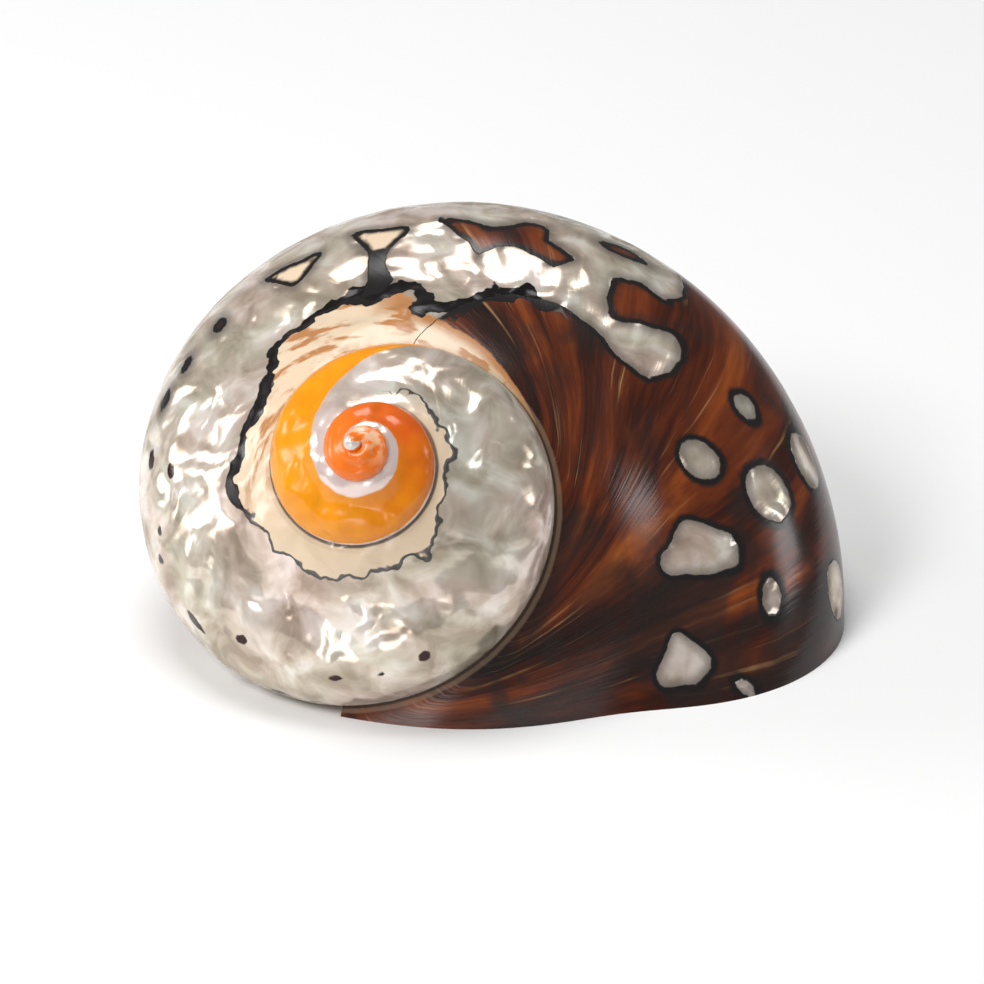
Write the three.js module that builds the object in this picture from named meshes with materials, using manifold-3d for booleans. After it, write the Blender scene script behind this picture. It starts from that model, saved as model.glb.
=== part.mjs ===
// A polished turban shell, the heavy coiled shell of a large sea snail, resting with its mouth down.
// One tube grows round a coiling axis. Every turn is the turn before it, made larger by the same
// factor about the apex, so a single oval section and a few growth numbers give the whole spire.
// Millimetres, +Z up. The mouth's rim lies in Z = 0 and the apex leans towards -Y.

import * as THREE from "three";
import { ParametricGeometry } from "three/addons/geometries/ParametricGeometry.js";
import { mergeVertices } from "three/addons/utils/BufferGeometryUtils.js";
import Module from "manifold-3d";

// Growth of the tube, counted in turns: 0 where the tube is square to +X, positive towards the mouth
const WHORL_EXPANSION = 2.57; // size of each turn over the turn before it
const TUBE_OUT = 24.6; // from the coiling axis to the middle of the section, at turn 0
const TUBE_DOWN = 41.5; // from the apex down the axis to the middle of the section, at turn 0
const TUBE_RADIUS = 22.35; // mean radius of the section, at turn 0
const OVAL = { amount: 0.273, turned: THREE.MathUtils.degToRad(-28.2) }; // long axis slopes out and down
const EGG = { amount: 0.04, turned: THREE.MathUtils.degToRad(-21) }; // blunt on the outer side
const FIRST_TURN = -3.5; // the nucleus of the spire
const LAST_TURN = 0.265; // just past the rim's furthest growth
const NUCLEUS_RADIUS = 1.1; // the round tip that closes the first turn

// How the shell lies
const AXIS_TILT = THREE.MathUtils.degToRad(46.05); // coiling axis from the vertical, towards -Y
const AXIS_SWING = THREE.MathUtils.degToRad(-12.15); // then round the vertical, towards -X
const APEX_HEIGHT = 37.5; // the apex above the surface that the rim rests on

// Wall of the tube, at turn 0
const WALL_OUTER = 2.6; // on the outer side of the whorl
const WALL_INNER = 6.4; // on the side of the coiling axis, where it is the columella
const RIM_SHARE = 0.5; // the wall at the rim, as a share of the wall further in
const RIM_TAPER = 10; // height above the rim over which the wall reaches its full thickness
const CAVITY_TURNS = 1.5; // turns from the mouth to the end of the modelled hollow
const AXIS_GAP = 0.02; // the tube stops short of the axis by this share of TUBE_OUT
const PILLAR_SLOPE = 0.07; // radius of the solid pillar on the axis, over its distance from the apex
const PILLAR_REACH = 33; // from the apex to the pillar's end, inside the last whorl's wall

// Fineness of the faceted surface
const FACETS_ROUND = 36; // round the section
const CAVITY_FACETS = 28;
const STEPS_PER_TURN = 28;
const EARLY_STEPS_PER_TURN = 18; // in the small first turns
const EARLY_TURN = -1.6; // where the small first turns end
const SEGMENT_TURNS = 0.5; // the tube is joined from lengths that don't meet themselves
const SMALLEST_EDGE = 0.05; // shorter edges, left by the cuts, are merged away
const SEGMENT_OVERLAP = 0.004; // lengths of the hollow run into each other by this part of a turn

const FULL_CIRCLE = 2 * Math.PI;
const wasm = await Module();
wasm.setup();

// From the shell's own frame (apex at the origin, coiling axis along +Z) to the frame it rests in
const RESTING_POSE = new THREE.Matrix4()
  .makeTranslation(0, 0, APEX_HEIGHT)
  .multiply(new THREE.Matrix4().makeRotationZ(AXIS_SWING))
  .multiply(new THREE.Matrix4().makeRotationX(AXIS_TILT));

// Radius of the outer section at an angle from straight out, positive towards the apex
function sectionRadius(around) {
  const oval = OVAL.amount * Math.cos(2 * (around - OVAL.turned));
  const egg = EGG.amount * Math.cos(3 * (around - EGG.turned));
  return TUBE_RADIUS * (1 + oval + egg);
}

// Thickness of the wall at that angle, for a tube of turn 0
function wallThickness(around) {
  const towardsAxis = (1 - Math.cos(around)) / 2;
  return WALL_OUTER + (WALL_INNER - WALL_OUTER) * towardsAxis;
}

// A point of the tube in the resting frame: at a turn, at a radius and an angle in the section
function tubePoint(turn, radius, around, target) {
  const size = WHORL_EXPANSION ** turn;
  const angle = -FULL_CIRCLE * turn;
  const out = size * Math.max(TUBE_OUT + radius * Math.cos(around), AXIS_GAP * TUBE_OUT);
  const down = size * (TUBE_DOWN - radius * Math.sin(around));
  return target.set(out * Math.cos(angle), out * Math.sin(angle), -down).applyMatrix4(RESTING_POSE);
}

// The outer surface of the tube
function outerPoint(turn, around, target) {
  return tubePoint(turn, sectionRadius(around), around, target);
}

// The inner surface of the tube, whose wall thins towards the rim
function innerPoint(turn, around, target) {
  const height = outerPoint(turn, around, target).z;
  const grown = THREE.MathUtils.smoothstep(height, 0, RIM_TAPER);
  const share = THREE.MathUtils.lerp(RIM_SHARE, 1, grown);
  const radius = sectionRadius(around) - share * wallThickness(around);
  return tubePoint(turn, radius, around, target);
}

// A closed length of tube between two turns. The first and last rows close on the section's middle.
function tubeLength(surfacePoint, fromTurn, toTurn, facets) {
  const stepsPerTurn = toTurn > EARLY_TURN ? STEPS_PER_TURN : EARLY_STEPS_PER_TURN;
  const steps = Math.max(2, Math.round((toTurn - fromTurn) * stepsPerTurn));
  const rows = steps + 2;
  return new ParametricGeometry(
    (u, v, target) => {
      const row = Math.round(v * rows);
      const step = THREE.MathUtils.clamp(row - 1, 0, steps);
      const turn = THREE.MathUtils.lerp(fromTurn, toTurn, step / steps);
      if (row === 0 || row === rows) {
        tubePoint(turn, 0, 0, target);
      } else {
        const corner = Math.round(u * facets) % facets;
        surfacePoint(turn, (corner / facets) * FULL_CIRCLE, target);
      }
    },
    facets,
    rows,
  );
}

// A closed geometry as a solid for joining and cutting
function solidOf(geometry) {
  const bare = new THREE.BufferGeometry();
  bare.setAttribute("position", geometry.getAttribute("position"));
  bare.setIndex(geometry.getIndex());
  const merged = mergeVertices(bare);
  const corners = merged.getIndex().array;
  const kept = [];
  for (let i = 0; i < corners.length; i += 3) {
    const [a, b, c] = [corners[i], corners[i + 1], corners[i + 2]];
    if (a !== b && b !== c && c !== a) kept.push(a, b, c);
  }
  const vertProperties = new Float32Array(merged.getAttribute("position").array);
  const triVerts = new Uint32Array(kept);
  return new wasm.Manifold(new wasm.Mesh({ numProp: 3, vertProperties, triVerts }));
}

// A solid as a geometry that a mesh can show
function geometryOf(solid) {
  const { numProp, vertProperties, triVerts } = solid.getMesh();
  const position = new Float32Array((vertProperties.length / numProp) * 3);
  for (let i = 0; i < position.length / 3; i++) {
    position.set(vertProperties.subarray(i * numProp, i * numProp + 3), i * 3);
  }
  const geometry = new THREE.BufferGeometry();
  geometry.setAttribute("position", new THREE.BufferAttribute(position, 3));
  geometry.setIndex(new THREE.BufferAttribute(triVerts, 1));
  return geometry;
}

// The first turn and its round tip
function nucleus() {
  const tip = new THREE.SphereGeometry(NUCLEUS_RADIUS, STEPS_PER_TURN / 2, STEPS_PER_TURN / 4);
  const middle = tubePoint(FIRST_TURN, 0, 0, new THREE.Vector3());
  return solidOf(tip.translate(middle.x, middle.y, middle.z));
}

// The solid pillar that the whorls wind round
function columella() {
  const tip = WHORL_EXPANSION ** FIRST_TURN * TUBE_DOWN;
  const profile = [
    new THREE.Vector2(0, -PILLAR_REACH),
    new THREE.Vector2(PILLAR_SLOPE * PILLAR_REACH, -PILLAR_REACH),
    new THREE.Vector2(PILLAR_SLOPE * tip, -tip),
    new THREE.Vector2(0, -tip),
  ];
  const pillar = new THREE.LatheGeometry(profile, STEPS_PER_TURN / 2);
  pillar.rotateX(Math.PI / 2).applyMatrix4(RESTING_POSE);
  return solidOf(pillar);
}

// The turns where the tube is divided into lengths, from the nucleus to the mouth
function segmentEnds() {
  const count = Math.ceil((LAST_TURN - FIRST_TURN) / SEGMENT_TURNS);
  const ends = [FIRST_TURN];
  for (let i = count - 1; i >= 0; i--) ends.push(LAST_TURN - i * SEGMENT_TURNS);
  return ends;
}

// The whorls with their hollow. Each length of the hollow stops at the whorls that grew before it.
function whorls() {
  let grown = nucleus().add(columella());
  const hollows = [];
  const ends = segmentEnds();
  for (let i = 1; i < ends.length; i++) {
    const [from, to] = [ends[i - 1], ends[i]];
    if (from >= LAST_TURN - CAVITY_TURNS - SEGMENT_OVERLAP) {
      const hollow = tubeLength(innerPoint, from, to + SEGMENT_OVERLAP, CAVITY_FACETS);
      hollows.push(solidOf(hollow).subtract(grown));
    }
    grown = grown.add(solidOf(tubeLength(outerPoint, from, to, FACETS_ROUND)));
  }
  for (const hollow of hollows) grown = grown.subtract(hollow);
  return grown;
}

// Everything above the surface that the rim rests on
function spaceAboveRim() {
  const side = 8 * TUBE_RADIUS;
  return solidOf(new THREE.BoxGeometry(side, side, side).translate(0, 0, side / 2));
}

// The largest body of a solid, without the specks that cuts along a curved wall can leave
function mainBody(solid) {
  return solid.decompose().reduce((most, body) => (body.volume() > most.volume() ? body : most));
}

function turbanShell() {
  const cut = whorls().intersect(spaceAboveRim()).simplify(SMALLEST_EDGE);
  const geometry = geometryOf(mainBody(cut));
  geometry.computeBoundingBox();
  const middle = geometry.boundingBox.getCenter(new THREE.Vector3());
  geometry.translate(-middle.x, -middle.y, 0);
  const material = new THREE.MeshStandardMaterial({ color: 0x8a7a6c, roughness: 0.15, metalness: 0 });
  const mesh = new THREE.Mesh(geometry, material);
  mesh.name = "shell";
  return mesh;
}

const turban = new THREE.Group();
turban.add(turbanShell());

export default turban;
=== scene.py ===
"""Looks of a polished turban shell, lying mouth down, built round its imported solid.

The shell grows as one oval tube that winds round an axis and gets larger by the same factor each turn.
Its surface is described in growth coordinates: the turn, and the angle around the tube's section.
Markings are placed in those coordinates, so they follow the coil and hold from every side.
"""

from __future__ import annotations

import logging
import math
from dataclasses import dataclass, field
from enum import Enum

import bpy
import numpy as np
from mathutils import Matrix, Vector, noise

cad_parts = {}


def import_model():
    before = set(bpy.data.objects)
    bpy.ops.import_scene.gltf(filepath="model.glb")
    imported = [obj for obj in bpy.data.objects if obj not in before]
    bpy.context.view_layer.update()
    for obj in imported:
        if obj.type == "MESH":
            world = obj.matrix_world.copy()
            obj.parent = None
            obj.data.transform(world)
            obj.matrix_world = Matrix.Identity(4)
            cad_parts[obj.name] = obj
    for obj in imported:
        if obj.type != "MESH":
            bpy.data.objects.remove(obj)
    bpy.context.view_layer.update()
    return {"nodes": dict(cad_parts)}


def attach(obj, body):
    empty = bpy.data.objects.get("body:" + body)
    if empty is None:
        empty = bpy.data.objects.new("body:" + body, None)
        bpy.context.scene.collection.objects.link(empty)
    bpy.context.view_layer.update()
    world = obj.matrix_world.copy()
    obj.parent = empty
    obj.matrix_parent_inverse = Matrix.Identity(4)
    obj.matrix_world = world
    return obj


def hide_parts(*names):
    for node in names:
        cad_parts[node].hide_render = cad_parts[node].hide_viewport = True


LOG = logging.getLogger("turban_shell")
MM = 0.001
FULL_CIRCLE = 2 * math.pi


class Skin(Enum):
    """Which skin of the shell a face belongs to."""

    OUTSIDE = 0
    INSIDE = 1


class Tone(Enum):
    """What shows inside a patch that is worn through the pearl."""

    BROWN = "brown"
    CREAM = "cream"
    BLACK = "black"


@dataclass(frozen=True)
class GrowthLaw:
    """The tube's section and how it grows, in metres and turns."""

    expansion: float = 2.57
    out: float = 24.6 * MM
    down: float = 41.5 * MM
    radius: float = 22.35 * MM
    oval: float = 0.273
    oval_turned: float = math.radians(-28.2)
    egg: float = 0.04
    egg_turned: float = math.radians(-21.0)
    axis_gap: float = 0.02
    first_turn: float = -3.5
    last_turn: float = 0.265
    suture_upper: float = 101.4
    suture_lower: float = -19.3

    def size(self, turn: np.ndarray) -> np.ndarray:
        """How large the tube is at a turn, over its size at turn 0."""
        return self.expansion**turn

    def section(self, around: np.ndarray) -> np.ndarray:
        """Radius of the outer section at an angle, at turn 0."""
        oval = self.oval * np.cos(2 * (around - self.oval_turned))
        egg = self.egg * np.cos(3 * (around - self.egg_turned))
        return self.radius * (1 + oval + egg)

    def profile(self, around: np.ndarray, radius: np.ndarray) -> tuple[np.ndarray, np.ndarray]:
        """Turns a polar section into distances from the axis and from the apex.

        Args:
            around: Angles in the section, in radians.
            radius: Radius at each angle.

        Returns:
            The distances out from the axis and down from the apex, at turn 0.
        """
        out = np.maximum(self.out + radius * np.cos(around), self.axis_gap * self.out)
        return out, self.down - radius * np.sin(around)

    def points(self, turn: np.ndarray, around: np.ndarray, radius: np.ndarray) -> np.ndarray:
        """Places points of the tube in the shell's own frame.

        Args:
            turn: Turns, counted from where the tube is square to +X.
            around: Angles in the section, in radians.
            radius: Radius at each angle, at turn 0.

        Returns:
            An array of points, apex at the origin and coiling axis along +Z.
        """
        size = self.size(turn)
        out, down = self.profile(around, radius)
        angle = -FULL_CIRCLE * turn
        return np.stack([size * out * np.cos(angle), size * out * np.sin(angle), -size * down], -1)


@dataclass(frozen=True)
class RestingPose:
    """How the shell lies: its apex in the row frame and the lean of its axis."""

    apex: tuple[float, float, float] = (-15.546 * MM, -27.225 * MM, 37.5 * MM)
    tilt: float = math.radians(46.05)
    swing: float = math.radians(-12.15)

    def matrix(self) -> Matrix:
        """From the shell's own frame to the row frame."""
        turned = Matrix.Rotation(self.swing, 4, "Z") @ Matrix.Rotation(self.tilt, 4, "X")
        return Matrix.Translation(Vector(self.apex)) @ turned

    def place(self, points: np.ndarray) -> np.ndarray:
        """Points of the shell's own frame in the row frame."""
        m = np.array(self.matrix())
        return points @ m[:3, :3].T + m[:3, 3]

    def unplace(self, points: np.ndarray) -> np.ndarray:
        """Points of the row frame in the shell's own frame."""
        m = np.array(self.matrix())
        return (points - m[:3, 3]) @ m[:3, :3]


def deselect_all() -> None:
    """Leaves object mode ready, with nothing selected."""
    if bpy.context.object and bpy.context.object.mode != "OBJECT":
        bpy.ops.object.mode_set(mode="OBJECT")
    bpy.ops.object.select_all(action="DESELECT")


def activate(piece: bpy.types.Object) -> None:
    """Selects one object alone and makes it the active one."""
    deselect_all()
    piece.select_set(True)
    bpy.context.view_layer.objects.active = piece


def combine(piece: bpy.types.Object, other: bpy.types.Object, operation: str, keep: bool = False) -> None:
    """Joins, cuts or trims a piece with another by an applied Boolean.

    Args:
        piece: The object that is changed.
        other: The object that it is joined with or cut by.
        operation: UNION, DIFFERENCE or INTERSECT.
        keep: Whether the other object stays in the scene.
    """
    activate(piece)
    modifier = piece.modifiers.new("combine", "BOOLEAN")
    modifier.operation = operation
    modifier.solver = "MANIFOLD"
    modifier.object = other
    bpy.ops.object.modifier_apply(modifier=modifier.name)
    if not keep:
        bpy.data.objects.remove(other, do_unlink=True)


def vertices_of(mesh: bpy.types.Mesh) -> np.ndarray:
    """A mesh's vertex places as an array."""
    places = np.zeros(len(mesh.vertices) * 3)
    mesh.vertices.foreach_get("co", places)
    return places.reshape(-1, 3)


def set_vertices(mesh: bpy.types.Mesh, places: np.ndarray) -> None:
    """Moves a mesh's vertices to new places."""
    mesh.vertices.foreach_set("co", places.astype(np.float32).ravel())
    mesh.update()


@dataclass
class ShellBody:
    """The coiled shell: its whorls, the hollow behind its mouth and its rim."""

    law: GrowthLaw = field(default_factory=GrowthLaw)
    pose: RestingPose = field(default_factory=RestingPose)
    facets: int = 168
    hollow_facets: int = 96
    segment: float = 0.5
    overlap: float = 0.004
    hollow_turns: float = 1.5
    wall_outer: float = 2.6 * MM
    wall_inner: float = 6.4 * MM
    rim_share: float = 0.42
    rim_taper: float = 11 * MM
    nucleus_radius: float = 1.1 * MM
    pillar_slope: float = 0.07
    pillar_reach: float = 33 * MM

    def wall(self, around: np.ndarray) -> np.ndarray:
        """Thickness of the wall at an angle of the section, at turn 0."""
        towards_axis = (1 - np.cos(around)) / 2
        return self.wall_outer + (self.wall_inner - self.wall_outer) * towards_axis

    def steps_per_turn(self, turn: float) -> int:
        """Fineness along the growth, finer on the large last whorl."""
        if turn > -0.3:
            return 240
        return 160 if turn > -1.3 else 64

    def segment_ends(self) -> list[float]:
        """The turns where the tube is divided, from the nucleus to the mouth."""
        count = math.ceil((self.law.last_turn - self.law.first_turn) / self.segment)
        ends = [self.law.last_turn - i * self.segment for i in range(count - 1, -1, -1)]
        return [self.law.first_turn, *ends]

    def sweep(self, name: str, inset: bool, start: float, stop: float) -> bpy.types.Object:
        """Winds one closed length of tube by extruding its section round the axis.

        Args:
            name: Name of the new object.
            inset: Whether the length is the hollow inside the wall.
            start: Turn of the first section.
            stop: Turn of the last section.

        Returns:
            The closed length of tube, in the shell's own frame.
        """
        facets = self.hollow_facets if inset else self.facets
        per_turn = self.steps_per_turn(stop) // (3 if inset else 1)
        steps = max(3, round((stop - start) * per_turn))
        around = np.arange(facets) / facets * FULL_CIRCLE
        radius = self.law.section(around) - (self.wall(around) if inset else 0)
        deselect_all()
        bpy.ops.mesh.primitive_circle_add(vertices=facets, radius=1, fill_type="NOTHING", location=(0, 0, 0))
        length = bpy.context.object
        length.name = name
        set_vertices(length.data, self.law.points(np.full(facets, start), around, radius))
        grow = self.law.expansion ** ((stop - start) / steps)
        turn_step = FULL_CIRCLE * (stop - start) / steps
        bpy.ops.object.mode_set(mode="EDIT")
        bpy.ops.mesh.select_all(action="SELECT")
        for _ in range(steps):
            bpy.ops.mesh.extrude_region_move()
            bpy.ops.transform.rotate(
                value=turn_step, orient_axis="Z", orient_type="GLOBAL", center_override=(0, 0, 0)
            )
            bpy.ops.transform.resize(value=(grow, grow, grow), orient_type="GLOBAL", center_override=(0, 0, 0))
        bpy.ops.mesh.edge_face_add()
        bpy.ops.mesh.select_all(action="DESELECT")
        bpy.ops.mesh.select_mode(type="EDGE")
        bpy.ops.mesh.select_non_manifold()
        bpy.ops.mesh.edge_face_add()
        bpy.ops.mesh.select_all(action="DESELECT")
        bpy.ops.mesh.select_mode(type="FACE")
        bpy.ops.mesh.select_face_by_sides(number=4, type="GREATER")
        bpy.ops.mesh.poke()
        bpy.ops.mesh.select_all(action="SELECT")
        bpy.ops.mesh.normals_make_consistent(inside=False)
        bpy.ops.mesh.select_mode(type="VERT")
        bpy.ops.object.mode_set(mode="OBJECT")
        # Neighbouring lengths share their end sections exactly, so that they join with no crack
        places = vertices_of(length.data)
        turns = np.repeat(np.linspace(start, stop, steps + 1), facets)
        rings = self.law.points(turns, np.tile(around, steps + 1), np.tile(radius, steps + 1))
        middles = self.law.points(np.array([start, stop]), np.zeros(2), np.zeros(2))
        nearer = np.linalg.norm(places[len(rings) :, None] - middles[None], axis=2).argmin(1)
        set_vertices(length.data, np.vstack([rings, middles[nearer]]))
        if inset:
            self.thin_towards_rim(length, start, stop)
        return length

    def thin_towards_rim(self, length: bpy.types.Object, start: float, stop: float) -> None:
        """Widens a length of the hollow near the rim, so that the wall thins to a lip.

        Args:
            length: The length of the hollow, in the shell's own frame.
            start: Turn of its first section.
            stop: Turn of its last section.
        """
        places = vertices_of(length.data)
        middle = (start + stop) / 2
        turn = -np.arctan2(places[:, 1], places[:, 0]) / FULL_CIRCLE
        turn += np.round(middle - turn)
        size = self.law.size(turn)
        out = np.hypot(places[:, 0], places[:, 1]) / size - self.law.out
        up = self.law.down + places[:, 2] / size
        around = np.arctan2(up, out)
        outer = self.law.points(turn, around, self.law.section(around))
        height = np.clip(self.pose.place(outer)[:, 2] / self.rim_taper, 0, 1)
        share = self.rim_share + (1 - self.rim_share) * height * height * (3 - 2 * height)
        radius = self.law.section(around) - share * self.wall(around)
        set_vertices(length.data, self.law.points(turn, around, radius))

    def nucleus(self) -> bpy.types.Object:
        """The round tip that closes the first turn, with the pillar that the whorls wind round."""
        law = self.law
        first = law.points(np.array(law.first_turn), np.array(0.0), np.array(0.0))
        deselect_all()
        bpy.ops.mesh.primitive_ico_sphere_add(subdivisions=4, radius=self.nucleus_radius, location=tuple(first))
        tip = bpy.context.object
        bpy.ops.object.transform_apply(location=True, rotation=True, scale=True)
        top = float(law.size(np.array(law.first_turn)) * law.down)
        deselect_all()
        bpy.ops.mesh.primitive_cone_add(
            vertices=32,
            radius1=self.pillar_slope * self.pillar_reach,
            radius2=self.pillar_slope * top,
            depth=self.pillar_reach - top,
            location=(0, 0, -(self.pillar_reach + top) / 2),
        )
        pillar = bpy.context.object
        bpy.ops.object.transform_apply(location=True, rotation=True, scale=True)
        combine(tip, pillar, "UNION")
        return tip

    def build(self) -> bpy.types.Object:
        """Grows the whorls, cuts the hollow and trims the shell at its rim.

        Returns:
            The closed shell, in the row frame.
        """
        shell = self.nucleus()
        shell.name = "turban_shell"
        shell.data.name = "turban_shell"
        hollows: list[bpy.types.Object] = []
        ends = self.segment_ends()
        for start, stop in zip(ends, ends[1:]):
            if start >= self.law.last_turn - self.hollow_turns - self.overlap:
                hollow = self.sweep("hollow", True, start, stop + self.overlap)
                combine(hollow, shell, "DIFFERENCE", keep=True)
                hollows.append(hollow)
            combine(shell, self.sweep("whorl", False, start, stop), "UNION")
        for hollow in hollows:
            combine(shell, hollow, "DIFFERENCE")
        shell.matrix_world = self.pose.matrix()
        activate(shell)
        bpy.ops.object.transform_apply(location=True, rotation=True, scale=True)
        deselect_all()
        side = 8 * self.law.radius
        bpy.ops.mesh.primitive_cube_add(size=side, location=(0, 0, side / 2))
        above = bpy.context.object
        bpy.ops.object.transform_apply(location=True, rotation=True, scale=True)
        combine(shell, above, "INTERSECT")
        return self.keep_main_body(shell)

    def keep_main_body(self, shell: bpy.types.Object) -> bpy.types.Object:
        """Drops the specks that cuts along a curved wall can leave.

        Args:
            shell: The cut shell.

        Returns:
            Its largest body.
        """
        activate(shell)
        bpy.ops.object.mode_set(mode="EDIT")
        bpy.ops.mesh.select_all(action="SELECT")
        bpy.ops.mesh.separate(type="LOOSE")
        bpy.ops.object.mode_set(mode="OBJECT")
        bodies = [o for o in bpy.context.selected_objects if o.type == "MESH"]
        main = max(bodies, key=lambda o: len(o.data.vertices))
        for body in bodies:
            if body is not main:
                bpy.data.objects.remove(body, do_unlink=True)
        main.name = "turban_shell"
        return main


@dataclass(frozen=True)
class Marking:
    """A rounded mark on the shell, placed in growth coordinates.

    The half sizes run along the growth, in turns, and round the section, in degrees. A lean slides the
    mark along the growth as it goes round the section.
    """

    turn: float
    around: float
    half_turns: float
    half_degrees: float
    lean: float = 0.0
    tone: Tone = Tone.BROWN

    def distance(self, turn: np.ndarray, around: np.ndarray, law: GrowthLaw) -> np.ndarray:
        """Signed distance to the mark's edge, negative inside.

        Args:
            turn: Turns of the points.
            around: Section angles of the points, in degrees.
            law: The shell's growth law.

        Returns:
            Distances in millimetres.
        """
        centre = np.radians(self.around)
        size = law.size(np.array(self.turn)) / MM
        radius = law.section(centre)
        along = FULL_CIRCLE * (law.out + radius * np.cos(centre)) * size * self.half_turns
        across = np.radians(self.half_degrees) * radius * size
        v = (around - self.around) / self.half_degrees
        u = (turn - self.turn) / self.half_turns - self.lean * v
        return (np.sqrt(u * u + v * v) - 1) * min(float(along), float(across))


@dataclass(frozen=True)
class Outline:
    """A cornered mark on the shell, its corners in turns and section degrees."""

    corners: tuple[tuple[float, float], ...]
    rounding: float = 0.2
    tone: Tone = Tone.BROWN

    def distance(self, turn: np.ndarray, around: np.ndarray, law: GrowthLaw) -> np.ndarray:
        """Signed distance to the mark's edge, negative inside.

        Args:
            turn: Turns of the points.
            around: Section angles of the points, in degrees.
            law: The shell's growth law.

        Returns:
            Distances in millimetres.
        """
        middle = np.mean(self.corners, axis=0)
        radius = law.section(np.radians(middle[1]))
        size = law.size(middle[0]) / MM
        per_turn = FULL_CIRCLE * (law.out + radius * math.cos(math.radians(middle[1]))) * size
        per_degree = math.radians(1) * radius * size
        x, y = (turn - middle[0]) * per_turn, (around - middle[1]) * per_degree
        points = [((t - middle[0]) * per_turn, (a - middle[1]) * per_degree) for t, a in self.corners]
        nearest = np.full(np.shape(x), np.inf)
        inside = np.zeros(np.shape(x), bool)
        for (ax, ay), (bx, by) in zip(points, points[1:] + points[:1]):
            dx, dy = bx - ax, by - ay
            share = np.clip(((x - ax) * dx + (y - ay) * dy) / (dx * dx + dy * dy), 0, 1)
            nearest = np.minimum(nearest, np.hypot(x - ax - share * dx, y - ay - share * dy))
            if dy:
                inside ^= ((ay > y) != (by > y)) & (x < ax + (y - ay) * dx / dy)
        return np.where(inside, -nearest, nearest) - self.rounding


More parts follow.
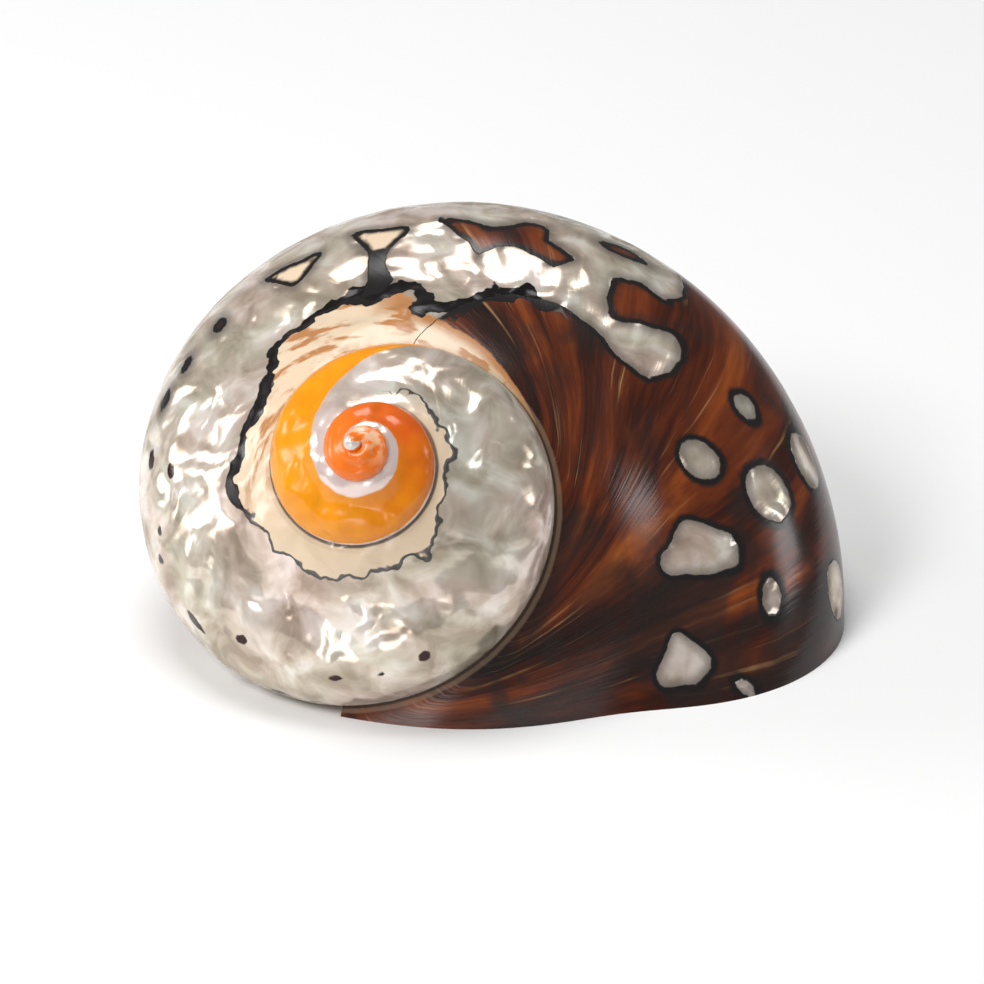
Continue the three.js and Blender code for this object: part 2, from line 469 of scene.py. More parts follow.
@dataclass
class Markings:
    """Where the shell's colours change: pearl, brown, cream band, patches and specks."""

    law: GrowthLaw
    line_length: float = 300.0
    slope_turns: float = 0.002
    cream_fade: float = 0.4

    PEARLS: tuple[Marking | Outline, ...] = (
        Outline(
            (
                (-0.165, 45.5), (-0.137, 45), (-0.112, 47.5), (-0.095, 43), (-0.094, 35), (-0.099, 28),
                (-0.105, 25), (-0.112, 25), (-0.123, 31), (-0.132, 38), (-0.165, 39),
            ),
            0.3,
        ),
        Marking(-0.043, 39, 0.0110, 7.4),
        Marking(-0.028, 18, 0.0125, 7.0),
        Outline(((0.017, 57), (-0.004, 47.5), (-0.001, 35), (0.004, 34.5), (0.011, 43)), 1.45),
        Marking(0.016, 19, 0.0078, 3.2),
        Outline(((0.071, 46.5), (0.054, 46), (0.056, 37), (0.063, 38.5)), 1.3),
        Marking(-0.068, 16, 0.0066, 3.3),
        Marking(-0.046, 0, 0.0120, 5.2),
        Marking(0.056, 21, 0.0028, 3.4),
        Marking(-0.075, -14, 0.0100, 6.0),
        Marking(0.002, -6, 0.0110, 5.5),
        Marking(-0.030, -27, 0.0130, 7.0),
        Marking(-0.095, -36, 0.0140, 6.5),
        Marking(-0.060, -52, 0.0110, 6.0),
        Marking(-0.115, -66, 0.0120, 7.0),
        Marking(-0.075, -84, 0.0130, 7.5),
        Marking(-0.120, -104, 0.0110, 6.5),
    )
    PATCHES: tuple[Marking | Outline, ...] = (
        Outline(((-0.357, 17.5), (-0.336, 19.5), (-0.320, 20.5), (-0.333, 29), (-0.342, 31)), 0.25, Tone.CREAM),
        Outline(((-0.300, 16.5), (-0.268, 20.5), (-0.279, 32), (-0.288, 32)), 0.25, Tone.CREAM),
        Outline(
            ((-0.289, 31), (-0.279, 31), (-0.281, 40), (-0.274, 52), (-0.280, 62), (-0.297, 62), (-0.291, 50)),
            0.15,
            Tone.BLACK,
        ),
        Marking(-0.396, 19, 0.0060, 3.6),
        Marking(-0.428, 15, 0.0060, 2.6),
        Marking(-0.453, 11, 0.0075, 2.6),
        Outline(
            (
                (-0.252, 16), (-0.243, 22), (-0.231, 28), (-0.223, 35), (-0.215, 27.5), (-0.203, 26), (-0.181, 30),
                (-0.175, 22.6), (-0.193, 19), (-0.199, 11.5), (-0.208, 12), (-0.214, 16), (-0.224, 20),
                (-0.238, 16.5),
            ),
            0.15,
        ),
        Marking(-0.163, 7, 0.0110, 3.4, -0.3),
        Outline(
            (
                (-0.154, 20.4), (-0.146, 30), (-0.137, 37), (-0.126, 29), (-0.117, 20.5), (-0.104, 14), (-0.116, 10),
                (-0.130, 16), (-0.144, 16.6),
            ),
            0.1,
        ),
        Marking(-0.205, -6, 0.0150, 4.5, 0.3),
        Marking(-0.290, -14, 0.0140, 4.5, -0.3, Tone.CREAM),
        Marking(-0.235, -38, 0.0180, 6.0, 0.2),
        Marking(-0.360, -30, 0.0120, 4.0, 0.0, Tone.CREAM),
        Marking(-0.250, -72, 0.0160, 6.0, -0.3),
    )
    SPECKS: tuple[Marking, ...] = (
        Marking(-0.810, 11, 0.0048, 2.6),
        Marking(-0.771, 9, 0.0042, 1.8),
        Marking(-0.735, 9, 0.0050, 1.6),
        Marking(-0.652, 14, 0.0052, 2.4),
        Marking(-0.615, 3, 0.0100, 2.4, 0.3),
        Marking(-0.563, 6, 0.0046, 2.0),
        Marking(-0.504, 24, 0.0058, 2.2),
        Marking(-0.494, 10, 0.0080, 2.4),
        Marking(-0.545, 12, 0.0040, 1.5),
        Marking(-0.690, -12, 0.0060, 2.2),
        Marking(-0.585, -22, 0.0070, 2.4),
        Marking(-0.470, -18, 0.0080, 2.6),
        Marking(-0.520, -44, 0.0060, 2.4),
        Marking(-0.420, -52, 0.0080, 2.8),
    )
    EDGE_TURNS: tuple[float, ...] = (
        -1.26, -1.16, -1.10, -1.03, -0.97, -0.87, -0.75, -0.66, -0.59, -0.545, -0.50, -0.45, -0.40,
        -0.377, -0.34, -0.305, -0.285, -0.258, -0.236, -0.213, -0.200, -0.18,
    )
    EDGE_DEGREES: tuple[float, ...] = (
        84, 80, 92, 86, 95, 82, 81, 83, 84, 70, 79, 84, 82,
        62, 61, 57, 66, 62, 79, 77, 60, 50,
    )
    EDGE_WIDTH_TURNS: tuple[float, ...] = (-1.27, -1.15, -0.58, -0.54, -0.42, -0.34, -0.30, -0.24, -0.19, -0.15)
    EDGE_WIDTHS: tuple[float, ...] = (0.0, 0.16, 0.20, 0.66, 0.62, 0.70, 1.0, 0.85, 1.2, 0.0)
    BROWN_DEGREES: tuple[float, ...] = (-180, -110, -60, -20, 0, 9, 15, 22, 30, 40, 47, 54, 70, 102, 180)
    BROWN_TURNS: tuple[float, ...] = (
        -0.18, -0.17, -0.15, -0.155, -0.138, -0.128, -0.130, -0.150, -0.140, -0.122, -0.165, -0.192, -0.21,
        -0.24, -0.24,
    )
    END_DEGREES: tuple[float, ...] = (45, 60, 80, 88, 93, 97, 100, 104)
    END_TURNS: tuple[float, ...] = (-0.30, -0.265, -0.245, -0.215, -0.175, -0.135, -0.085, -0.03)
    PALE_TURNS: tuple[float, ...] = (
        -3.6, -2.8, -2.6, -2.2, -2.0, -1.75, -1.55, -1.46, -1.40, -1.33, -1.26, -1.18, -1.08,
    )
    PALE_DEGREES: tuple[float, ...] = (230, 200, 104, 86, 80, 76, 82, 76, 62, 40, 14, -10, -60)

    def path(self, turn: np.ndarray, around: np.ndarray) -> np.ndarray:
        """Millimetres of surface along one turn of growth."""
        angle = np.radians(around)
        out = self.law.out + self.law.section(angle) * np.cos(angle)
        return FULL_CIRCLE * np.maximum(out, self.law.out * 0.05) * self.law.size(turn) / MM

    def arc(self, turn: np.ndarray, around: np.ndarray) -> np.ndarray:
        """Millimetres of surface for one radian round the section."""
        return self.law.section(np.radians(around)) * self.law.size(turn) / MM

    def lip_turn(self, pose: RestingPose) -> tuple[np.ndarray, np.ndarray]:
        """Where the tube meets the surface that the rim rests on, for growth lines.

        Args:
            pose: How the shell lies.

        Returns:
            Section angles in degrees, and the turn of the rim at each.
        """
        degrees = np.linspace(-180, 180, 145)
        turns = np.linspace(-0.3, 0.42, 721)
        angle, turn = np.meshgrid(np.radians(degrees), turns, indexing="ij")
        height = pose.place(self.law.points(turn, angle, self.law.section(angle)))[..., 2]
        below = (height[:, 1:] <= 0) & (height[:, :-1] > 0)
        lip = np.where(below.any(1), turns[np.argmax(below, 1)], np.nan)
        known = ~np.isnan(lip)
        return degrees, np.interp(degrees, degrees[known], lip[known])

    def edge_distance(self, turn: np.ndarray, around: np.ndarray) -> np.ndarray:
        """Distance past the ragged edge of the cream band, positive towards the suture."""
        degrees = np.interp(turn, self.EDGE_TURNS, self.EDGE_DEGREES)
        ahead = np.interp(turn + self.slope_turns, self.EDGE_TURNS, self.EDGE_DEGREES)
        slope = np.radians(ahead - degrees) / self.slope_turns * self.arc(turn, around) / self.path(turn, around)
        return np.radians(around - degrees) * self.arc(turn, around) / np.sqrt(1 + slope * slope)

    def brown_distance(self, turn: np.ndarray, around: np.ndarray) -> np.ndarray:
        """Distance from pearl to brown, negative in the pearl, with every mark let in."""
        edge = np.interp(around, self.BROWN_DEGREES, self.BROWN_TURNS)
        ahead = np.interp(around + 1, self.BROWN_DEGREES, self.BROWN_TURNS)
        slope = (ahead - edge) * self.path(turn, around) / (math.radians(1) * self.arc(turn, around))
        distance = (turn - edge) * self.path(turn, around) / np.sqrt(1 + slope * slope)
        for mark in self.PEARLS:
            distance = np.minimum(distance, mark.distance(turn, around, self.law))
        for mark in self.PATCHES:
            distance = np.maximum(distance, -mark.distance(turn, around, self.law))
        return distance

    def nearest(self, marks: tuple[Marking | Outline, ...], turn: np.ndarray, around: np.ndarray) -> np.ndarray:
        """Signed distance to the nearest of some marks."""
        return np.min([m.distance(turn, around, self.law) for m in marks], axis=0)

    def fields(self, turn: np.ndarray, around: np.ndarray, pose: RestingPose) -> dict[str, np.ndarray]:
        """Every number that the finishes read, at points of the outer skin.

        Args:
            turn: Turns of the points.
            around: Section angles of the points, in degrees.
            pose: How the shell lies.

        Returns:
            Named arrays, one value for each point. Distances are in millimetres.
        """
        degrees, lip = self.lip_turn(pose)
        grown = turn - np.interp(around, degrees, lip)
        line = self.line_length * self.law.size(grown)
        cream_marks = tuple(m for m in self.PATCHES if m.tone is Tone.CREAM)
        black_marks = tuple(m for m in self.PATCHES if m.tone is Tone.BLACK)
        covered = turn < self.law.last_turn - 1.0
        to_upper = np.radians(self.law.suture_upper - around) * self.arc(turn, around)
        to_lower = np.radians(around - self.law.suture_lower) * self.arc(turn, around)
        pale = np.interp(turn, self.PALE_TURNS, self.PALE_DEGREES)
        cream_end = np.interp(around, self.END_DEGREES, self.END_TURNS)
        return {
            "line": line,
            "span": np.radians(around) * self.arc(np.minimum(turn, 0), around),
            "turn": turn,
            "brown": np.clip(self.brown_distance(turn, around), -9, 9),
            "cream": np.clip(self.edge_distance(turn, around), -9, 9),
            "edge_width": np.interp(turn, self.EDGE_WIDTH_TURNS, self.EDGE_WIDTHS),
            "tone": np.clip(-self.nearest(cream_marks, turn, around) / self.cream_fade, -1, 1),
            "ink": np.clip(self.nearest(black_marks, turn, around), -3, 3),
            "speck": np.clip(self.nearest(self.SPECKS, turn, around), -3, 3),
            "pale": np.clip(np.radians(around - pale) * self.arc(turn, around), -6, 6),
            "suture": np.clip(np.where(covered, np.minimum(to_upper, to_lower), to_upper), -1, 6),
            "ridge": np.clip(to_upper, -1, 9),
            "cream_end": np.clip((turn - cream_end) * self.path(turn, around), -30, 9),
        }


@dataclass
class SkinReader:
    """Reads each face's skin and growth coordinates back from its place."""

    body: ShellBody
    inner_share: float = 0.72
    inner_weight: float = 0.5
    inner_margin: float = 0.15 * MM
    end_margin: float = 0.02

    def whorl_of(self, places: np.ndarray) -> tuple[np.ndarray, np.ndarray, np.ndarray]:
        """Finds which turn each point belongs to, and on which skin it lies.

        Args:
            places: Points in the row frame.

        Returns:
            Turns, section angles in radians, and whether the outer skin is the nearer one.
        """
        law = self.body.law
        own = self.body.pose.unplace(places)
        angle = -np.arctan2(own[:, 1], own[:, 0]) / FULL_CIRCLE
        out = np.hypot(own[:, 0], own[:, 1])
        best = np.full(len(own), np.inf)
        turn_best = np.zeros(len(own))
        around_best = np.zeros(len(own))
        outer_best = np.zeros(len(own), bool)
        for whole in range(-4, 2):
            turn = angle + whole
            size = law.size(turn)
            u = out / size - law.out
            v = law.down + own[:, 2] / size
            around = np.arctan2(v, u)
            radius = np.hypot(u, v)
            section = law.section(around)
            valid = (turn < law.last_turn + self.end_margin) & (turn > law.first_turn - self.end_margin)
            off_outer = np.abs(radius - section) * size
            inner_radius = section - self.inner_share * self.body.wall(around)
            off_inner = np.abs(radius - inner_radius) * size * self.inner_weight + self.inner_margin
            for off, is_outer in ((off_outer, True), (off_inner, False)):
                nearer = valid & (off < best)
                best[nearer] = off[nearer]
                turn_best[nearer] = turn[nearer]
                around_best[nearer] = around[nearer]
                outer_best[nearer] = is_outer
        return turn_best, around_best, outer_best

    def corners(self, mesh: bpy.types.Mesh) -> tuple[np.ndarray, np.ndarray, np.ndarray]:
        """Growth coordinates of every face corner, kept whole across each face.

        Args:
            mesh: The shell's mesh.

        Returns:
            Turns and section angles in degrees by corner, and whether each face is outside.
        """
        law = self.body.law
        places = vertices_of(mesh)
        count = len(mesh.polygons)
        centres = np.zeros(count * 3)
        mesh.polygons.foreach_get("center", centres)
        centres = centres.reshape(-1, 3)
        face_turn, _, outside = self.whorl_of(centres)
        totals = np.zeros(count, int)
        mesh.polygons.foreach_get("loop_total", totals)
        face_of = np.repeat(np.arange(count), totals)
        index = np.zeros(len(mesh.loops), int)
        mesh.loops.foreach_get("vertex_index", index)
        own = self.body.pose.unplace(places[index])
        turn = -np.arctan2(own[:, 1], own[:, 0]) / FULL_CIRCLE
        turn += np.round(face_turn[face_of] - turn)
        size = law.size(turn)
        u = np.hypot(own[:, 0], own[:, 1]) / size - law.out
        v = law.down + own[:, 2] / size
        return turn, np.degrees(np.arctan2(v, u)), outside


class Graph:
    """A small helper that lays out the nodes of one material."""

    def __init__(self, name: str) -> None:
        """Starts a material with a bare Principled shader.

        Args:
            name: Name of the material.
        """
        self.material = bpy.data.materials.new(name)
        self.material.use_nodes = True
        self.tree = self.material.node_tree
        self.tree.nodes.clear()
        self.shader = self.tree.nodes.new("ShaderNodeBsdfPrincipled")
        output = self.tree.nodes.new("ShaderNodeOutputMaterial")
        self.tree.links.new(self.shader.outputs["BSDF"], output.inputs["Surface"])

    def put(self, socket: bpy.types.NodeSocket, value: object) -> None:
        """Links a node's output to a socket, or sets a plain value on it."""
        if isinstance(value, bpy.types.NodeSocket):
            self.tree.links.new(value, socket)
        else:
            socket.default_value = value

    def value(self, name: str) -> bpy.types.NodeSocket:
        """One of the mesh's named numbers."""
        node = self.tree.nodes.new("ShaderNodeAttribute")
        node.attribute_name = name
        return node.outputs["Fac"]

    def places(self) -> bpy.types.NodeSocket:
        """Places on the piece, in metres."""
        return self.tree.nodes.new("ShaderNodeTexCoord").outputs["Object"]

    def vector(self, x: object, y: object, z: object) -> bpy.types.NodeSocket:
        """A vector from three numbers."""
        node = self.tree.nodes.new("ShaderNodeCombineXYZ")
        for socket, value in zip(node.inputs, (x, y, z)):
            self.put(socket, value)
        return node.outputs["Vector"]

    def sum(self, operation: str, a: object, b: object = 0.0, c: object = 0.0) -> bpy.types.NodeSocket:
        """The result of one sum on two or three numbers."""
        node = self.tree.nodes.new("ShaderNodeMath")
        node.operation = operation
        for socket, value in zip(node.inputs, (a, b, c)):
            self.put(socket, value)
        return node.outputs["Value"]

    def clouds(
        self, at: object, scale: float, detail: float = 2.0, rough: float = 0.5, warp: float = 0.0
    ) -> bpy.types.NodeSocket:
        """Soft noise between 0 and 1.

        Args:
            at: Where it is read.
            scale: Clouds for one unit of length.
            detail: How many finer layers it has.
            rough: How strong the finer layers are.
            warp: How much it swirls.

        Returns:
            The noise.
        """
        node = self.tree.nodes.new("ShaderNodeTexNoise")
        self.put(node.inputs["Vector"], at)
        node.inputs["Scale"].default_value = scale
        node.inputs["Detail"].default_value = detail
        node.inputs["Roughness"].default_value = rough
        node.inputs["Distortion"].default_value = warp
        return node.outputs["Fac"]

    def step(self, value: object, low: float, high: float) -> bpy.types.NodeSocket:
        """A smooth step from 0 at low to 1 at high."""
        node = self.tree.nodes.new("ShaderNodeMapRange")
        node.interpolation_type = "SMOOTHSTEP"
        self.put(node.inputs["Value"], value)
        falling = low > high
        node.inputs["From Min"].default_value = high if falling else low
        node.inputs["From Max"].default_value = low if falling else high
        node.inputs["To Min"].default_value = 1.0 if falling else 0.0
        node.inputs["To Max"].default_value = 0.0 if falling else 1.0
        return node.outputs["Result"]

    def ramp(self, value: object, *stops: tuple[float, tuple[float, float, float]]) -> bpy.types.NodeSocket:
        """A colour ramp."""
        node = self.tree.nodes.new("ShaderNodeValToRGB")
        self.put(node.inputs["Fac"], value)
        while len(node.color_ramp.elements) < len(stops):
            node.color_ramp.elements.new(0.5)
        for element, (place, colour) in zip(node.color_ramp.elements, stops):
            element.position = place
            element.color = (*colour, 1)
        return node.outputs["Color"]

    def mix(self, share: object, a: object, b: object, blend: str = "MIX") -> bpy.types.NodeSocket:
        """One colour laid over another."""
        node = self.tree.nodes.new("ShaderNodeMix")
        node.data_type = "RGBA"
        node.blend_type = blend
        self.put(node.inputs["Factor"], share)
        for socket, value in ((node.inputs[6], a), (node.inputs[7], b)):
            self.put(socket, (*value, 1) if isinstance(value, tuple) else value)
        return node.outputs[2]

    def bump(self, height: object, distance: float, under: object = None) -> bpy.types.NodeSocket:
        """Fine relief of the surface."""
        node = self.tree.nodes.new("ShaderNodeBump")
        node.inputs["Distance"].default_value = distance
        self.put(node.inputs["Height"], height)
        if under is not None:
            self.put(node.inputs["Normal"], under)
        return node.outputs["Normal"]


@dataclass(frozen=True)
class PolishedOutside:
    """The polished outer skin: pearl, tortoise brown, cream band and the orange early whorls."""

    black: tuple[float, float, float] = (0.010, 0.008, 0.008)
    # Painted shade: a grey-brown that darkens the pearl near its edge, so the flat pearl spots look domed.
    painted_edge_shade: tuple[float, float, float] = (0.20, 0.165, 0.14)
    gold: tuple[float, float, float] = (0.62, 0.34, 0.14)
    shade: tuple[float, float, float] = (0.016, 0.012, 0.011)
    cream: tuple[float, float, float] = (0.70, 0.55, 0.39)
    smudge: tuple[float, float, float] = (0.42, 0.16, 0.035)
    thin_line: tuple[float, float, float] = (0.10, 0.095, 0.09)
    white: tuple[float, float, float] = (0.82, 0.67, 0.63)
    worn: tuple[float, float, float] = (0.80, 0.58, 0.38)
    speck: tuple[float, float, float] = (0.035, 0.014, 0.010)
    ridge: tuple[float, float, float] = (0.46, 0.33, 0.21)
    suture_line: tuple[float, float, float] = (0.035, 0.018, 0.012)
    hammer_depth: float = 1.2 * MM
    scratch_depth: float = 0.02 * MM

    def along_growth(self, g: Graph, line: float, span: float, layer: float) -> bpy.types.NodeSocket:
        """Places stretched along the growth lines.

        Args:
            g: The material's nodes.
            line: Scale across the growth lines.
            span: Scale along them.
            layer: Which layer of the noise is read.

        Returns:
            The places.
        """
        across = g.sum("MULTIPLY", g.value("line"), line)
        return g.vector(across, g.sum("MULTIPLY", g.value("span"), span), layer)

    def pearl(self, g: Graph) -> bpy.types.NodeSocket:
        """Silvery mother-of-pearl with pink and green tints along the growth."""
        at = g.places()
        base = g.ramp(
            g.clouds(at, 190, 3, 0.55, 0.6),
            (0.32, (0.42, 0.35, 0.28)),
            (0.50, (0.66, 0.585, 0.505)),
            (0.64, (0.87, 0.825, 0.775)),
        )
        tint = g.ramp(
            g.clouds(at, 75, 2, 0.5, 1.2),
            (0.34, (0.96, 1.0, 0.94)),
            (0.50, (1.0, 0.97, 0.94)),
            (0.66, (1.0, 0.90, 0.885)),
        )
        lines = g.clouds(self.along_growth(g, 0.22, 0.05, 0.0), 1.0, 4, 0.6)
        lines = g.ramp(lines, (0.35, (0.88, 0.86, 0.84)), (0.65, (1.04, 1.03, 1.02)))
        return g.mix(0.75, g.mix(1.0, base, tint, "MULTIPLY"), lines, "MULTIPLY")

    def brown(self, g: Graph) -> bpy.types.NodeSocket:
        """Dark tortoise brown with amber and golden growth streaks."""
        colour = g.ramp(
            g.clouds(self.along_growth(g, 0.10, 0.028, 0.0), 1.0, 5, 0.62, 0.5),
            (0.32, (0.007, 0.003, 0.002)),
            (0.45, (0.040, 0.007, 0.002)),
            (0.56, (0.12, 0.022, 0.004)),
            (0.68, (0.28, 0.066, 0.009)),
            (0.84, (0.45, 0.16, 0.030)),
        )
        hair = g.step(g.clouds(self.along_growth(g, 0.75, 0.045, 3.0), 1.0, 3, 0.6, 0.2), 0.58, 0.74)
        hair = g.sum("MULTIPLY", hair, g.step(g.clouds(g.places(), 85, 2), 0.42, 0.60))
        colour = g.mix(g.sum("MULTIPLY", hair, 0.55), colour, self.gold)
        dark = g.step(g.clouds(g.places(), 60, 3, 0.6, 0.8), 0.44, 0.62)
        return g.mix(g.sum("MULTIPLY", dark, 0.75), colour, self.shade)

    def orange(self, g: Graph) -> bpy.types.NodeSocket:
        """Red-orange at the apex, amber on the next whorl."""
        turn = g.sum("ADD", g.value("turn"), g.sum("MULTIPLY", g.clouds(g.places(), 420, 2), 0.2))
        share = g.step(turn, -2.45, -1.45)
        base = g.ramp(
            share,
            (0.0, (0.80, 0.17, 0.012)),
            (0.40, (0.66, 0.105, 0.006)),
            (0.62, (0.70, 0.17, 0.004)),
            (1.0, (0.80, 0.29, 0.003)),
        )
        light = g.ramp(g.clouds(g.places(), 300, 3), (0.35, (0.90, 0.84, 0.8)), (0.65, (1.05, 1.08, 1.1)))
        worn = g.step(g.clouds(g.places(), 900, 2), 0.38, 0.58)
        worn = g.sum("MULTIPLY", g.step(g.value("turn"), -2.75, -3.15), worn)
        return g.mix(g.sum("MULTIPLY", worn, 0.75), g.mix(0.8, base, light, "MULTIPLY"), self.worn)

    def pearl_and_brown(self, g: Graph, warp: object) -> tuple[bpy.types.NodeSocket, bpy.types.NodeSocket]:
        """Pearl darkened by painted shade towards its edge, and the brown that the pearl is worn through to, with
        black along their edge.

        Args:
            g: The material's nodes.
            warp: How far an edge wanders, in millimetres.

        Returns:
            The colour, and where it is pearl.
        """
        at = g.sum("ADD", g.value("brown"), g.sum("MULTIPLY", warp, 0.55))
        in_pearl = g.step(at, 0.07, -0.07)
        # Painted shade: the pearl darkens within 1.5 mm of its edge with the brown, to make its patches look domed.
        pearl = g.mix(g.sum("MULTIPLY", g.step(at, -1.5, 0.0), 0.75), self.pearl(g), self.painted_edge_shade)
        brown = g.mix(g.step(g.value("tone"), 0.0, 0.6), self.brown(g), self.cream)
        outline = g.sum("MAXIMUM", g.step(at, 0.95, 0.38), g.step(g.value("ink"), 0.3, 0.0))
        return g.mix(in_pearl, g.mix(outline, brown, self.black), pearl), in_pearl

    def cream_band(
        self, g: Graph, under: object, warp: object, fine: object
    ) -> tuple[bpy.types.NodeSocket, bpy.types.NodeSocket]:
        """The cream band beside the suture, with its smudges and its jagged dark edge.

        Args:
            g: The material's nodes.
            under: The colour that it lies on.
            warp: How far an edge wanders, in millimetres.
            fine: The finest part of that.

        Returns:
            The colour, and where it is the band.
        """
        turn = g.value("turn")
        jag = g.sum("MULTIPLY_ADD", g.clouds(g.places(), 290, 2, 0.55), 4.6, -2.3)
        at = g.sum("ADD", g.value("cream"), g.sum("ADD", jag, fine))
        end_at = g.sum("MULTIPLY_ADD", warp, 2.5, g.value("cream_end"))
        reach = g.sum("MULTIPLY", g.step(turn, -1.25, -1.10), g.step(end_at, 0.5, -0.7))
        in_cream = g.sum("MULTIPLY", g.step(at, -0.05, 0.10), reach)
        smudge = g.step(g.clouds(self.along_growth(g, 0.16, 0.2, 7.0), 1.0, 3, 0.55), 0.50, 0.60)
        smudge = g.sum("MULTIPLY", smudge, g.step(turn, -0.60, -0.48))
        smudge = g.sum("MAXIMUM", smudge, g.step(end_at, -7.0, -1.0))
        band = g.mix(g.sum("MULTIPLY", smudge, 0.9), self.cream, self.smudge)
        colour = g.mix(in_cream, under, band)
        uneven = g.sum("MULTIPLY_ADD", g.clouds(g.places(), 380, 2), 1.9, 0.35)
        width = g.sum("MULTIPLY", g.value("edge_width"), uneven)
        beside = g.sum("SUBTRACT", g.sum("ABSOLUTE", at), width)
        on_line = g.sum("MULTIPLY", g.step(beside, 0.12, -0.04), g.step(width, 0.02, 0.10))
        line = g.mix(g.step(width, 0.35, 0.5), self.thin_line, self.black)
        return g.mix(on_line, colour, line), in_cream

    def early_whorls(
        self, g: Graph, under: object, warp: object
    ) -> tuple[bpy.types.NodeSocket, bpy.types.NodeSocket]:
        """The orange early whorls, with white along their sutures.

        Args:
            g: The material's nodes.
            under: The colour that they lie on.
            warp: How far an edge wanders, in millimetres.

        Returns:
            The colour, and where it is orange.
        """
        turn = g.value("turn")
        at = g.sum("ADD", g.value("pale"), g.sum("MULTIPLY", warp, 0.5))
        early = g.sum("MULTIPLY", g.step(at, 0.12, -0.12), g.step(turn, -0.98, -1.02))
        colour = g.mix(g.sum("MULTIPLY", g.step(turn, -1.30, -1.42), 0.85), under, self.white)
        colour = g.mix(early, colour, self.orange(g))
        rim = g.step(g.sum("MULTIPLY_ADD", warp, 0.5, g.value("suture")), 0.95, 0.60)
        rim = g.sum("MULTIPLY", rim, g.step(turn, -1.32, -1.40))
        return g.mix(g.sum("MULTIPLY", rim, g.step(turn, -2.1, -1.9)), colour, self.white), early

    def specks_and_seams(self, g: Graph, under: object, warp: object) -> bpy.types.NodeSocket:
        """Dark specks in the pearl, and the suture with its pale ridge.

        Args:
            g: The material's nodes.
            under: The colour that they lie on.
            warp: How far an edge wanders, in millimetres.

        Returns:
            The colour.
        """
        turn = g.value("turn")
        at = g.sum("ADD", g.value("speck"), g.sum("MULTIPLY", warp, 0.5))
        colour = g.mix(g.step(at, 0.10, -0.08), under, self.speck)
        ridge = g.step(g.sum("MULTIPLY_ADD", warp, 0.15, g.value("ridge")), 0.95, 0.65)
        ridge = g.sum("MULTIPLY", ridge, g.step(turn, -0.80, -0.70))
        colour = g.mix(g.sum("MULTIPLY", ridge, 0.32), colour, self.ridge)
        seam = g.step(g.sum("MULTIPLY_ADD", warp, 0.12, g.value("suture")), 0.42, 0.22)
        seam = g.sum("MULTIPLY", seam, g.step(turn, -1.5, -0.9))
        return g.mix(g.sum("MULTIPLY", seam, 0.8), colour, self.suture_line)

    def material(self) -> bpy.types.Material:
        """Lays every colour of the outer skin over the next.

        Returns:
            The finished material.
        """
        g = Graph("polished_outside")
        at = g.places()
        ragged = g.sum("MULTIPLY_ADD", g.clouds(at, 330, 3, 0.55), 1.5, -0.75)
        fine = g.sum("MULTIPLY_ADD", g.clouds(at, 1100, 2), 0.4, -0.2)
        warp = g.sum("ADD", ragged, fine)
        colour, in_pearl = self.pearl_and_brown(g, warp)
        colour, in_cream = self.cream_band(g, colour, warp, fine)
        colour, early = self.early_whorls(g, colour, warp)
        colour = self.specks_and_seams(g, colour, warp)
        g.put(g.shader.inputs["Base Color"], colour)
        g.put(g.shader.inputs["Metallic"], g.sum("MULTIPLY", self.shine(g, in_pearl, in_cream, early), 0.45))
        g.put(g.shader.inputs["Roughness"], g.sum("MULTIPLY_ADD", g.clouds(at, 260, 3), 0.18, 0.12))
        g.shader.inputs["IOR"].default_value = 1.48
        hammer = g.sum("MULTIPLY", g.clouds(at, 250, 0.6, 0.4, 0.35), in_pearl)
        scratch = g.clouds(self.along_growth(g, 1.4, 0.06, 1.0), 1.0, 2)
        normal = g.bump(scratch, self.scratch_depth, g.bump(hammer, self.hammer_depth))
        g.put(g.shader.inputs["Normal"], normal)
        return g.material

    def shine(self, g: Graph, pearl: object, cream: object, early: object) -> bpy.types.NodeSocket:
        """How much of a surface has the bright reflection of pearl."""
        bare = g.sum("MULTIPLY", g.sum("SUBTRACT", 1.0, cream), g.sum("SUBTRACT", 1.0, early))
        return g.sum("MULTIPLY", pearl, bare)


@dataclass(frozen=True)
class NacreInside:
    """The bright nacre that lines the hollow and the lip."""

    def material(self) -> bpy.types.Material:
        """Silver nacre with soft green and pink bands.

        Returns:
            The finished material.
        """
        g = Graph("nacre_inside")
        at = g.places()
        base = g.ramp(
            g.clouds(at, 90, 3, 0.5, 0.8),
            (0.32, (0.56, 0.58, 0.52)),
            (0.5, (0.72, 0.68, 0.64)),
            (0.68, (0.80, 0.66, 0.64)),
        )
        fine = g.ramp(g.clouds(at, 420, 2), (0.3, (0.9, 0.9, 0.9)), (0.7, (1.05, 1.05, 1.05)))
        g.put(g.shader.inputs["Base Color"], g.mix(0.8, base, fine, "MULTIPLY"))
        g.put(g.shader.inputs["Roughness"], g.sum("MULTIPLY_ADD", g.clouds(at, 200, 2), 0.2, 0.16))
        g.shader.inputs["Metallic"].default_value = 0.35
        g.put(g.shader.inputs["Normal"], g.bump(g.clouds(at, 160, 2), 0.00015))
        return g.material


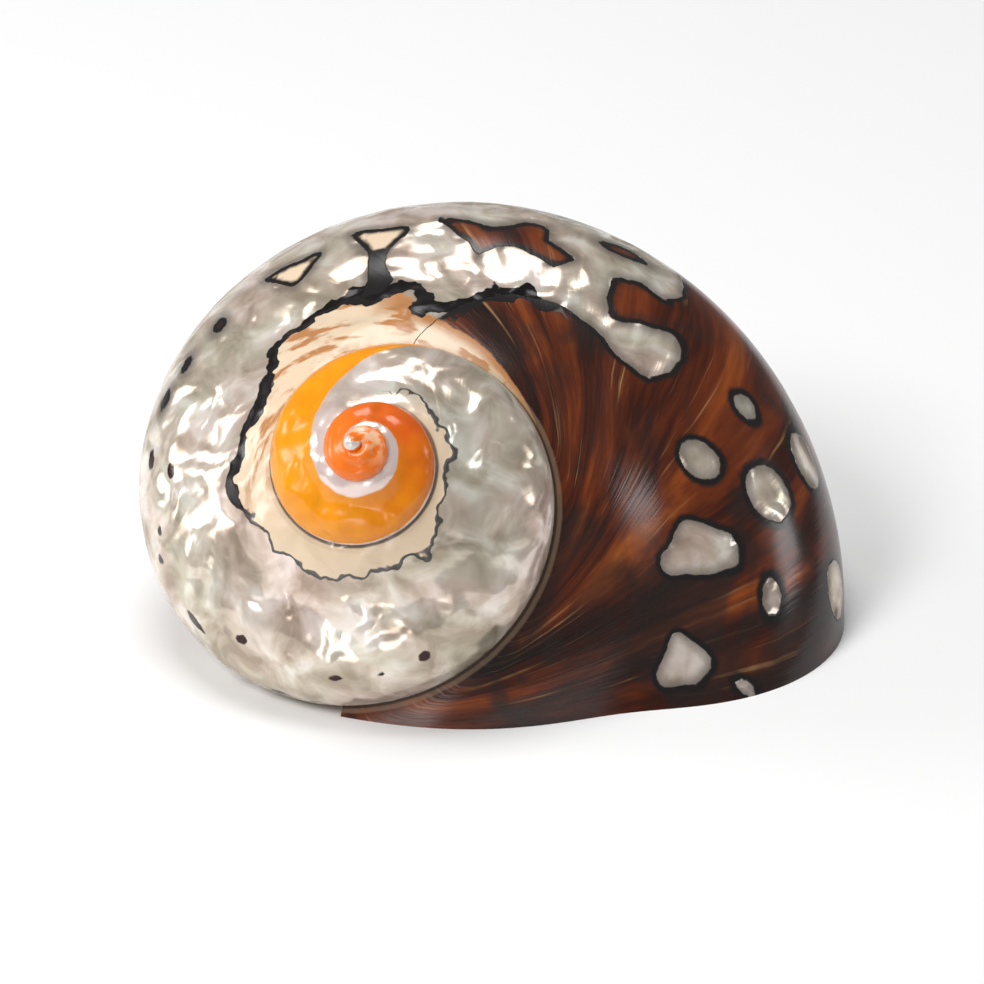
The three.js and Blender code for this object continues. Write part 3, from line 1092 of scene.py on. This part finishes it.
@dataclass
class TurbanShell:
    """The whole shell, built, rippled and dressed."""

    body: ShellBody = field(default_factory=ShellBody)
    ripple: float = 0.08 * MM
    ripples_per_metre: float = 230.0
    calm_edge: float = 1.5
    smooth_angle: float = math.radians(32)

    def make(self) -> bpy.types.Object:
        """Builds the shell and gives it its finishes.

        Returns:
            The finished piece, riding on the solid's body.
        """
        shell = self.body.build()
        self.ripple_pearl(shell)
        self.dress(shell)
        activate(shell)
        bpy.ops.object.shade_smooth_by_angle(angle=self.smooth_angle)
        deselect_all()
        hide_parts("shell")
        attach(shell, "root")
        return shell

    def ripple_pearl(self, shell: bpy.types.Object) -> None:
        """Gives the pearly part of the outer skin its shallow hammered ripples."""
        mesh = shell.data
        places = vertices_of(mesh)
        turn, around, outside = SkinReader(self.body).whorl_of(places)
        degrees = np.degrees(around)
        marks = Markings(self.body.law)
        calm = np.clip(-marks.brown_distance(turn, degrees) / self.calm_edge, 0, 1)
        calm *= np.clip(-marks.edge_distance(turn, degrees) / self.calm_edge, 0, 1)
        calm *= np.clip((turn + 1.3) / 0.2, 0, 1) * np.clip((places[:, 2] - 0.5 * MM) / (2 * MM), 0, 1)
        suture = np.radians(self.body.law.suture_upper - degrees) * marks.arc(turn, degrees)
        lower = np.radians(degrees - self.body.law.suture_lower) * marks.arc(turn, degrees)
        lower = np.where(turn < self.body.law.last_turn - 0.95, lower, 9)
        calm *= np.clip(np.minimum(suture, lower) / self.calm_edge, 0, 1) * outside
        normals = np.zeros(len(mesh.vertices) * 3)
        mesh.vertices.foreach_get("normal", normals)
        waves = np.array([noise.noise(Vector(p) * self.ripples_per_metre) for p in places])
        moved = places + normals.reshape(-1, 3) * (waves * calm * self.ripple)[:, None]
        set_vertices(mesh, moved)

    def dress(self, shell: bpy.types.Object) -> None:
        """Writes the growth fields on the mesh and sets its two finishes."""
        mesh = shell.data
        mesh.materials.clear()
        mesh.materials.append(PolishedOutside().material())
        mesh.materials.append(NacreInside().material())
        turn, around, outside = SkinReader(self.body).corners(mesh)
        skin = np.where(outside, Skin.OUTSIDE.value, Skin.INSIDE.value).astype(np.int32)
        mesh.polygons.foreach_set("material_index", skin)
        for name, values in Markings(self.body.law).fields(turn, around, self.body.pose).items():
            layer = mesh.attributes.new(name, "FLOAT", "CORNER")
            layer.data.foreach_set("value", values.astype(np.float32))
        mesh.update()


@dataclass(frozen=True)
class Studio:
    """The pale floor, the soft lights and the camera."""

    camera_place: tuple[float, float, float] = (-0.000116, -0.53317, 0.31076)
    camera_elevation: float = math.radians(28.97)
    lens: float = 182.93
    floor_side: float = 6.0

    def floor(self) -> None:
        """A plain pale floor."""
        deselect_all()
        bpy.ops.mesh.primitive_plane_add(size=self.floor_side, location=(0, 0, 0))
        floor = bpy.context.object
        floor.name = "floor"
        g = Graph("pale_floor")
        tone = g.ramp(g.clouds(g.places(), 3, 2), (0.0, (0.84, 0.84, 0.84)), (1.0, (0.88, 0.88, 0.88)))
        g.put(g.shader.inputs["Base Color"], tone)
        g.shader.inputs["Roughness"].default_value = 0.9
        g.shader.inputs["Specular IOR Level"].default_value = 0.1
        floor.data.materials.append(g.material)

    def softbox(self, name: str, place: Vector, size: float, watts: float) -> None:
        """A square soft light that faces the shell.

        Args:
            name: Name of the light.
            place: Where it stands, in metres.
            size: Length of its side, in metres.
            watts: Its power.
        """
        deselect_all()
        bpy.ops.object.light_add(type="AREA", location=place)
        light = bpy.context.object
        light.name = name
        light.data.shape = "SQUARE"
        light.data.size = size
        light.data.energy = watts
        light.rotation_mode = "QUATERNION"
        light.rotation_quaternion = (Vector((0, 0, 0.02)) - place).to_track_quat("-Z", "Y")

    def lights(self) -> None:
        """Soft light from above and from the left, with an even white surround."""
        self.softbox("key_softbox", Vector((-0.42, -0.38, 0.60)), 0.30, 3.4)
        self.softbox("top_softbox", Vector((-0.05, 0.12, 0.75)), 0.40, 3.2)
        self.softbox("right_softbox", Vector((0.75, -0.10, 0.30)), 0.22, 0.8)
        self.softbox("left_softbox", Vector((-0.80, 0.12, 0.34)), 0.34, 2.2)
        self.softbox("front_card", Vector((-0.35, -0.85, 0.10)), 0.26, 0.9)
        world = bpy.data.worlds.new("white_surround")
        world.use_nodes = True
        background = world.node_tree.nodes["Background"]
        background.inputs["Color"].default_value = (1, 1, 1, 1)
        background.inputs["Strength"].default_value = 0.20
        bpy.context.scene.world = world

    def camera(self) -> None:
        """The camera at the photograph's viewing angle."""
        deselect_all()
        bpy.ops.object.camera_add(location=self.camera_place, rotation=(math.pi / 2 - self.camera_elevation, 0, 0))
        camera = bpy.context.object
        camera.name = "photo_camera"
        camera.data.sensor_width = 36
        camera.data.lens = self.lens
        camera.data.clip_start = 0.05
        camera.data.clip_end = 20
        bpy.context.scene.camera = camera


def write_size() -> None:
    """Brings the view layer up to date.
    """
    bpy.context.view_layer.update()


def main() -> None:
    """Builds the shell, the floor, the lights and the camera."""
    logging.basicConfig(level=logging.INFO)
    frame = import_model()
    LOG.info("frame: %d node", len(frame["nodes"]))
    shell = TurbanShell().make()
    triangles = sum(len(p.vertices) - 2 for p in shell.data.polygons)
    LOG.info("%s: %d triangles", shell.name, triangles)
    studio = Studio()
    studio.floor()
    studio.lights()
    studio.camera()
    LOG.info("floor, lights and camera are set")
    bpy.context.scene.view_settings.view_transform = "Standard"
    write_size()


if __name__ == "__main__":
    main()
